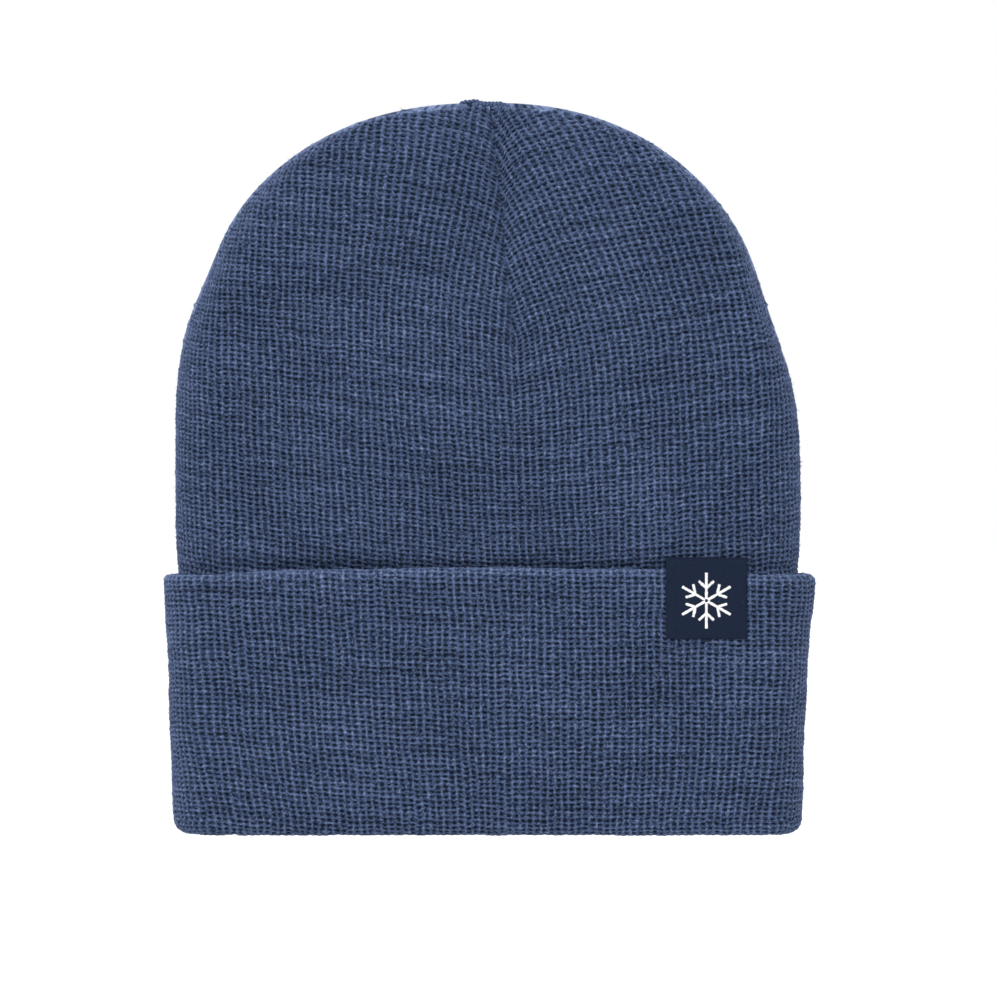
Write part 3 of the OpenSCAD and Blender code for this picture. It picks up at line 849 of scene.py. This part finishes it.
def rounded_thread(name, path, radius, body, sides=10, twist=0.0, plies=1):
    """A thread along a path in millimetres, of one or more plies that wind round each other."""
    path = np.asarray(path, dtype=float)
    ahead = np.gradient(path, axis=0)
    ahead /= np.linalg.norm(ahead, axis=1, keepdims=True)
    lengths = np.concatenate([[0], np.cumsum(np.linalg.norm(np.diff(path, axis=0), axis=1))])
    side = np.cross(ahead, (0.13, 0.21, 0.97))
    side /= np.linalg.norm(side, axis=1, keepdims=True)
    third = np.cross(ahead, side)
    points, faces = [], []
    ply_r = radius if plies == 1 else radius * PLY_SHARE
    for ply in range(plies):
        wind = twist * lengths + 2 * math.pi * ply / plies
        off = 0 if plies == 1 else radius * PLY_OUT
        centre = path + off * (np.cos(wind)[:, None] * side + np.sin(wind)[:, None] * third)
        start = len(points)
        for c, a, b in zip(centre, side, third):
            for n in range(sides):
                t = 2 * math.pi * n / sides
                points.append(c + ply_r * (math.cos(t) * a + math.sin(t) * b))
        for r in range(len(path) - 1):
            for n in range(sides):
                m = (n + 1) % sides
                faces.append([start + r * sides + n, start + (r + 1) * sides + n,
                              start + (r + 1) * sides + m, start + r * sides + m])
        faces.append([start + n for n in range(sides)])
        faces.append([start + (len(path) - 1) * sides + n for n in reversed(range(sides))])
    return mesh_object(name, points, faces, None, body)


def join(name, parts):
    """One piece from several meshes."""
    bpy.ops.object.select_all(action="DESELECT")
    for part in parts:
        part.select_set(True)
    bpy.context.view_layer.objects.active = parts[0]
    bpy.ops.object.join()
    parts[0].name = name
    return parts[0]


def label_curve(s, r, straight):
    """A point and facing on the label, s millimetres up from its lower edge, for an arch of radius r."""
    centre_y = (LABEL_FRONT_Y + LABEL_BACK_Y) / 2
    arch_z = LABEL_TOP - (LABEL_BACK_Y - LABEL_FRONT_Y) / 2
    turn = np.clip((s - straight) / r, 0, math.pi)
    past = np.maximum(s - straight - math.pi * r, 0)
    y = centre_y - r * np.cos(turn)
    z = LABEL_BOTTOM + np.minimum(s, straight) + r * np.sin(turn) - past
    return y, np.where(turn > 0, arch_z + r * np.sin(turn) - past, z), -np.cos(turn), np.sin(turn)


def label_wave(x, s):
    """The label isn't quite flat, millimetres outwards."""
    return 0.10 * np.sin(0.19 * (x - LABEL_X) + 0.4) * np.sin(0.17 * s + 0.5) + 0.06 * np.sin(0.33 * s)


def label_piece():
    """The woven label: a thin closed sheet with rounded rims, bent over the cuff's edge."""
    arch_r = (LABEL_BACK_Y - LABEL_FRONT_Y) / 2 - LABEL_T / 2
    straight = LABEL_TOP - (LABEL_BACK_Y - LABEL_FRONT_Y) / 2 - LABEL_BOTTOM
    length = straight + math.pi * arch_r + LABEL_TAIL
    rows, cols = LABEL_GRID
    s = np.linspace(0, length, rows)[:, None]
    t = np.linspace(-1, 1, cols)[None, :]
    edge = 0.10 * np.sin(9.1 * s / 4) + 0.07 * np.sin(23.0 * s / 4)
    x = LABEL_X + t * (LABEL_W / 2 - 0.25) + t ** 21 * edge
    y, z, out, up = label_curve(s + 0 * t, arch_r, straight)
    lift = label_wave(x, s) * ramp((s + 4) / 8)
    rolled = 1 - np.power(np.abs(t), 26)
    rolled = rolled * (1 - np.power(1 - s / length, 60)) * (1 - np.power(s / length, 60))
    half = LABEL_T / 2 * np.sqrt(np.clip(rolled, 0.02, 1))
    layers = []
    for way in (1, -1):
        off = lift + way * half
        layers.append(np.stack([x + 0 * s, y + out * off, z + up * off], axis=-1))
    points = np.concatenate([layer.reshape(-1, 3) for layer in layers])
    uv = np.stack([(x + 0 * s), s + 0 * x], axis=-1).reshape(-1, 2)
    faces = []
    inside = rows * cols
    for r in range(rows - 1):
        for c in range(cols - 1):
            a = r * cols + c
            faces.append([a, a + 1, a + cols + 1, a + cols])
            faces.append([inside + a, inside + a + cols, inside + a + cols + 1, inside + a + 1])
    rim = list(range(cols)) + [r * cols + cols - 1 for r in range(1, rows)]
    rim += [(rows - 1) * cols + c for c in range(cols - 2, -1, -1)]
    rim += [r * cols for r in range(rows - 2, 0, -1)]
    for n, p in enumerate(rim):
        q = rim[(n + 1) % len(rim)]
        faces.append([q, p, inside + p, inside + q])
    piece = mesh_object("label_weave", points, faces, np.concatenate([uv, uv]), "cuff_front")
    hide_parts("label")
    return piece


# The snowflake: its radius, half a bar's width, and the spacing, sides and height of the satin stitches
FLAKE_R = 9.0
FLAKE_BAR = 0.42
SATIN_PITCH = 0.34
SATIN_ARCS = 6
SATIN_RISE = 0.20
# Across one satin stitch: places in pitches, and how far each lies below its ridge
SATIN_SECTION = ((-0.5, 0.12), (-0.22, 0.02), (0.22, 0.02), (0.5, 0.12))


def satin_bar(start, end, half, surface_y, seed):
    """Raised parallel stitches laid across a bar from start to end, points on the label's front."""
    start, end = np.array(start, dtype=float), np.array(end, dtype=float)
    along = end - start
    length = np.linalg.norm(along)
    along /= length
    across = np.array([-along[1], along[0]])
    r = np.random.default_rng(seed)
    count = max(3, int(length / SATIN_PITCH))
    points, faces = [], []
    for n in range(count):
        centre = start + along * (n + 0.5) * length / count
        reach = half * (1 + 0.10 * r.normal())
        slant = 0.10 * r.normal()
        base = len(points)
        for k in range(SATIN_ARCS + 1):
            t = -1 + 2 * k / SATIN_ARCS
            at = centre + across * reach * t + along * slant * t * SATIN_PITCH
            rise = SATIN_RISE * math.sqrt(max(0, 1 - t * t * 0.92))
            for off, drop in SATIN_SECTION:
                p = at + along * off * SATIN_PITCH * 1.04
                points.append((p[0], surface_y(p[0], p[1]) - max(rise - drop, 0.01), p[1]))
        for k in range(SATIN_ARCS):
            for m in range(3):
                a = base + k * 4 + m
                faces.append([a, a + 1, a + 5, a + 4])
    return points, faces


def label_motif():
    """A plain six-armed snowflake in satin stitches."""
    centre = (LABEL_X, LABEL_BOTTOM + (LABEL_TOP - LABEL_BOTTOM) * 0.47)
    points, faces = [], []

    def surface_y(x, z):
        return LABEL_FRONT_Y - label_wave(x, z - LABEL_BOTTOM)

    def point(along, out):
        return (centre[0] + math.sin(angle) * along + math.cos(angle) * out,
                centre[1] + math.cos(angle) * along - math.sin(angle) * out)

    for arm in range(6):
        angle = math.radians(60 * arm)
        bars = [((0.5, 0), (FLAKE_R, 0))]
        for out in (-1, 1):
            bars.append(((0.48 * FLAKE_R, 0.3 * out), (0.70 * FLAKE_R, out * 0.27 * FLAKE_R)))
        for n, (start, end) in enumerate(bars):
            p, f = satin_bar(point(*start), point(*end), FLAKE_BAR, surface_y, 100 + arm * 5 + n)
            faces += [[len(points) + v for v in face] for face in f]
            points += p
    piece = mesh_object("snowflake_stitches", points, faces, None, "cuff_front")
    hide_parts("label_motif")
    return piece


def label_tack():
    """A few turns of thread that hold the label's lower edge."""
    low, high = node_box("label_tack")
    middle = (low[0] + high[0]) / 2
    parts = []
    for n in range(4):
        x = np.linspace(low[0] + 0.1 * n, high[0] - 0.1 * n, 15)
        bow = np.cos((x - middle) / (high[0] - low[0]) * math.pi)
        y = -CUFF_OUTER_Y - 0.05 - 0.38 * bow
        z = (low[2] + high[2]) / 2 + 0.16 * (n - 1.5) + 0.03 * np.sin(x * 5 + n)
        parts.append(rounded_thread(f"tack_{n}", np.stack([x, y, z], axis=1), 0.12, "cuff_front", 8))
    piece = join("label_tack_thread", parts)
    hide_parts("label_tack")
    return piece


# The stitches that draw the gores together where the darts meet: where each lies, and half their reach
CLOSING_STITCHES = (-3.2, -2.0, -0.8, 0.4, 1.6, 2.8, 4.0)
CLOSING_REACH = 2.2


def crown_knot():
    """The end of the yarn that closes the crown, pulled into a small flat knot."""
    low, high = node_box("crown_knot")
    middle = [(a + b) / 2 for a, b in zip(low, high)]
    half = (high[0] - low[0]) / 2
    parts = []
    for n, (rise, depth) in enumerate(((0.25, -0.5), (0.05, 0.45), (-0.35, 0.0))):
        t = np.linspace(-1, 1, 33)
        x = middle[0] + half * 0.86 * t + 0.3 * n
        z = middle[2] - 0.1 + rise * np.cos(t * 1.4) + 0.12 * np.sin(7 * t + n) - 0.7 * t * t
        y = middle[1] + depth + 0.15 * np.sin(5 * t + 2 * n)
        parts.append(rounded_thread(f"knot_{n}", np.stack([x, y, z], axis=1), 0.55, "cap", 10, 2.4, 2))
    for n, x in enumerate(CLOSING_STITCHES):
        t = np.linspace(-1, 1, 25)
        across = np.stack([x + 0.5 * t + 0.1 * np.sin(6 * t + n), CLOSING_REACH * t,
                           CROWN_TOP + 0.25 - 1.1 * t ** 2], axis=1)
        parts.append(rounded_thread(f"closing_{n}", across, 0.62, "cap", 10, 2.4, 2))
    piece = join("crown_knot_yarn", parts)
    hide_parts("crown_knot")
    return piece


class Paint:
    """Builds a material's nodes."""

    def __init__(self, name, roughness, sheen=0.0):
        self.material = bpy.data.materials.new(name)
        self.material.use_nodes = True
        self.tree = self.material.node_tree
        self.shader = self.tree.nodes["Principled BSDF"]
        self.shader.inputs["Roughness"].default_value = roughness
        self.shader.inputs["Sheen Weight"].default_value = sheen
        self.shader.inputs["Sheen Roughness"].default_value = 0.35
        self.shader.inputs["Specular IOR Level"].default_value = 0.12

    def node(self, kind, **settings):
        node = self.tree.nodes.new(kind)
        for key, value in settings.items():
            setattr(node, key, value)
        return node

    def link(self, source, target):
        if hasattr(source, "is_output"):
            self.tree.links.new(source, target)
        else:
            target.default_value = source

    def math(self, operation, a, b=0.0, c=0.0):
        node = self.node("ShaderNodeMath", operation=operation)
        for value, socket in zip((a, b, c), node.inputs):
            self.link(value, socket)
        return node.outputs[0]

    def noise(self, vector, scale, detail=2.0, stretch=(1, 1, 1)):
        mapping = self.node("ShaderNodeMapping")
        mapping.inputs["Scale"].default_value = stretch
        self.link(vector, mapping.inputs["Vector"])
        node = self.node("ShaderNodeTexNoise")
        node.inputs["Scale"].default_value = scale
        node.inputs["Detail"].default_value = detail
        self.link(mapping.outputs[0], node.inputs["Vector"])
        return node.outputs["Fac"]

    def colours(self, factor, stops):
        node = self.node("ShaderNodeValToRGB")
        ramp_ = node.color_ramp
        while len(ramp_.elements) < len(stops):
            ramp_.elements.new(0.5)
        for element, (position, colour) in zip(ramp_.elements, stops):
            element.position = position
            element.color = (*colour, 1)
        self.link(factor, node.inputs[0])
        return node.outputs[0]

    def bump(self, height, distance, strength=1.0):
        node = self.node("ShaderNodeBump")
        node.inputs["Distance"].default_value = distance
        node.inputs["Strength"].default_value = strength
        self.link(height, node.inputs["Height"])
        self.link(node.outputs[0], self.shader.inputs["Normal"])


# Yarn colours from the deepest hollow, painted dark as shade, to the brightest fibre: the level of each, and
# its sRGB from 0 to 255
YARN_TONES = [
    (0.00, (20, 30, 47)),
    (0.12, (35, 46, 67)),
    (0.36, (58, 73, 102)),
    (0.66, (90, 107, 145)),
    (1.00, (135, 151, 190)),
]
# The yarn's middle level, how much darker the hollows are painted as shade, and how ragged their edges
YARN_LEVEL, HOLLOW_PAINTED_SHADE, HOLLOW_RAGGED = 0.45, 0.295, 1.2
# How much each of these adds to the level: strands and bars, as painted highlight; the rubbed seams with their
# painted highlight and painted shade; and four sizes of unevenness
STRAND_PAINTED_HIGHLIGHT, BAR_PAINTED_HIGHLIGHT, PAINTED_LIGHT_AND_WEAR_STRENGTH = 0.08, 0.02, 0.55
STITCH_GRAIN, FIBRE_GRAIN, STREAK_GRAIN, PATCH_GRAIN = 0.50, 1.55, 0.42, 0.20


def linear(colour, exposure):
    """sRGB 0 to 255 as a linear surface colour, for a given brightness of the light."""
    out = []
    for value in colour:
        v = value / 255
        out.append((v / 12.92 if v < 0.04045 else ((v + 0.055) / 1.055) ** 2.4) / exposure)
    return tuple(out)


def knit_material(name, exposure, bumpy):
    """Heathered rib knit: the same hollows as the mesh, painted dark inside as shade, each stitch a little
    different.
    """
    paint = Paint(name, 0.95, 0.45)
    paint.shader.inputs["Sheen Tint"].default_value = (0.42, 0.53, 0.85, 1)
    uv = paint.node("ShaderNodeUVMap", uv_map="knit").outputs[0]
    split = paint.node("ShaderNodeSeparateXYZ")
    paint.link(uv, split.inputs[0])
    stitch = paint.noise(uv, 0.9, 1.0)
    fibre = paint.noise(uv, 2.3, 2.0, (1.3, 0.95, 1))
    streak = paint.noise(uv, 1.0, 2.0, (0.07, 0.6, 1))
    patch = paint.noise(uv, 0.05, 2.0)

    strands = paint.math("COSINE", paint.math("MULTIPLY", split.outputs[0], 2 * math.pi))
    sagging = paint.math("MULTIPLY_ADD", strands, BAR_SAG, split.outputs[1])
    bars = paint.math("COSINE", paint.math("MULTIPLY", sagging, 2 * math.pi))
    column = paint.math("POWER", paint.math("MULTIPLY_ADD", strands, 0.5, 0.5), HOLLOW_WIDE)
    row = paint.math("POWER", paint.math("MULTIPLY_ADD", bars, -0.5, 0.5), HOLLOW_HIGH)
    deep = paint.math("MULTIPLY", column, row)
    deep = paint.math("MULTIPLY_ADD", paint.math("SUBTRACT", fibre, 0.5), HOLLOW_RAGGED, deep)
    reach = paint.node("ShaderNodeMapRange", interpolation_type="SMOOTHSTEP")
    paint.link(deep, reach.inputs["Value"])
    reach.inputs["From Min"].default_value = HOLLOW_FROM
    reach.inputs["From Max"].default_value = HOLLOW_TO
    sunk = reach.outputs["Result"]

    # The hollows are painted dark as shade, and the raised strands and bars are painted lighter as highlight
    level = paint.math("MULTIPLY_ADD", sunk, -HOLLOW_PAINTED_SHADE, YARN_LEVEL)
    level = paint.math("MULTIPLY_ADD", strands, -STRAND_PAINTED_HIGHLIGHT, level)
    level = paint.math("MULTIPLY_ADD", bars, BAR_PAINTED_HIGHLIGHT, level)
    # Seams rubbed paler, with painted highlight on seams, edges and loose fibres, and painted shade in the
    # darts' creases
    wear_and_painted_light = paint.node("ShaderNodeAttribute", attribute_name="wear_and_painted_light").outputs["Fac"]
    level = paint.math("MULTIPLY_ADD", wear_and_painted_light, PAINTED_LIGHT_AND_WEAR_STRENGTH, level)
    grains = (stitch, STITCH_GRAIN), (fibre, FIBRE_GRAIN), (streak, STREAK_GRAIN), (patch, PATCH_GRAIN)
    for grain, amount in grains:
        level = paint.math("MULTIPLY_ADD", grain, amount, level)
        level = paint.math("SUBTRACT", level, amount / 2)
    stops = [(at, linear(colour, exposure)) for at, colour in YARN_TONES]
    paint.link(paint.colours(level, stops), paint.shader.inputs["Base Color"])
    raised = paint.math("MULTIPLY_ADD", sunk, -bumpy, paint.math("MULTIPLY", fibre, 1.2))
    paint.bump(raised, 0.0004)
    return paint.material


def label_material():
    """Closely woven tape: fine warp and weft, slightly clouded."""
    paint = Paint("label_weave", 0.85)
    uv = paint.node("ShaderNodeUVMap", uv_map="knit").outputs[0]
    split = paint.node("ShaderNodeSeparateXYZ")
    paint.link(uv, split.inputs[0])
    warp = paint.math("SINE", paint.math("MULTIPLY", split.outputs[0], 2 * math.pi / 0.42))
    weft = paint.math("SINE", paint.math("MULTIPLY", split.outputs[1], 2 * math.pi / 0.30))
    thread = paint.math("MULTIPLY_ADD", warp, 0.22, paint.math("MULTIPLY_ADD", weft, 0.30, 0.5))
    cloudy = paint.noise(uv, 0.9, 3.0)
    grain = paint.noise(uv, 5.0, 2.0)
    level = paint.math("MULTIPLY_ADD", cloudy, 0.4, paint.math("MULTIPLY", grain, 0.4))
    level = paint.math("MULTIPLY_ADD", thread, 0.30, level)
    colour = paint.colours(level, [(0.2, (0.0040, 0.0080, 0.0205)), (0.8, (0.0105, 0.0195, 0.044))])
    paint.link(colour, paint.shader.inputs["Base Color"])
    paint.bump(thread, 0.00012, 0.8)
    return paint.material


def thread_material(name, colour, roughness):
    """Plain yarn of one colour with a fine grain."""
    paint = Paint(name, roughness)
    where = paint.node("ShaderNodeNewGeometry").outputs["Position"]
    grain = paint.noise(where, 2400.0, 3.0)
    low = tuple(v * 0.75 for v in colour)
    high = tuple(min(1.0, v * 1.2) for v in colour)
    paint.link(paint.colours(grain, [(0.3, low), (0.7, high)]), paint.shader.inputs["Base Color"])
    paint.bump(grain, 0.00008, 0.5)
    return paint.material


def paint_all(pieces, material):
    for piece in pieces:
        piece.data.materials.clear()
        piece.data.materials.append(material)


def floor():
    """A pale ground far enough below the cap that only a faint shadow reaches it."""
    bpy.ops.mesh.primitive_plane_add(size=40, location=(0, 6, FLOOR_Z))
    plane = bpy.context.object
    plane.name = "floor"
    paint = Paint("pale_floor", 0.9)
    paint.shader.inputs["Base Color"].default_value = (0.9, 0.9, 0.9, 1)
    plane.data.materials.append(paint.material)


def studio():
    """An even white sky and one very soft light from above."""
    world = bpy.data.worlds.new("studio")
    world.use_nodes = True
    background = world.node_tree.nodes["Background"]
    background.inputs["Color"].default_value = (1, 1, 1, 1)
    background.inputs["Strength"].default_value = WORLD_STRENGTH
    bpy.context.scene.world = world
    sun = bpy.data.lights.new("softbox", "SUN")
    sun.energy = 1.4
    sun.angle = 0.9
    light = bpy.data.objects.new("softbox", sun)
    light.rotation_euler = (math.radians(48), 0, math.radians(-24))
    bpy.context.scene.collection.objects.link(light)


def camera():
    """Square on to the front, at the height of the picture's middle."""
    data = bpy.data.cameras.new("camera")
    data.sensor_width = 36
    data.lens = 36 * (CAMERA_AWAY - CUFF_OUTER_Y * MM) / PICTURE_HEIGHT
    eye = bpy.data.objects.new("camera", data)
    eye.location = (PICTURE_X, -CAMERA_AWAY, PICTURE_Z)
    eye.rotation_euler = (math.pi / 2, 0, 0)
    bpy.context.scene.collection.objects.link(eye)
    bpy.context.scene.camera = eye


# How bright the studio makes a pale surface that faces the camera
EXPOSURE = 1.25
FLOOR_Z = -0.1
WORLD_STRENGTH = 1.0
CAMERA_AWAY = 2.2
PICTURE_HEIGHT = 0.3224
PICTURE_X, PICTURE_Z = 0.0034, 0.1081

outside_knit = cap_layer(("tube_{}_knit", "crown_{}_knit"), "outer", "gore")
cuff_pieces = cuff()
fold_pieces = folds()
lining_pieces = cap_layer(("lining_tube_{}", "lining_crown_{}"), "lining", "lining_gore", lining=True)
label_cloth, motif, tack, knot = label_piece(), label_motif(), label_tack(), crown_knot()
seams = [bpy.data.objects[f"dart_seam_{name}"] for name in ("front", "back", "left", "right")]

paint_all(outside_knit, knit_material("cap_knit", EXPOSURE, 0.15))
paint_all(cuff_pieces + fold_pieces, knit_material("cuff_knit", EXPOSURE, 0.15))
paint_all(lining_pieces, knit_material("knit_inner_face", EXPOSURE * 1.15, 0.8))
paint_all(seams, thread_material("seam_yarn", (0.032, 0.05, 0.1), 0.9))
paint_all([knot], thread_material("closing_yarn", (0.075, 0.11, 0.21), 0.9))
paint_all([label_cloth], label_material())
paint_all([motif], thread_material("motif_yarn", (0.86, 0.87, 0.9), 0.7))
paint_all([tack], thread_material("label_thread", (0.012, 0.018, 0.038), 0.8))

floor()
studio()
camera()
bpy.context.scene.view_settings.view_transform = "Standard"
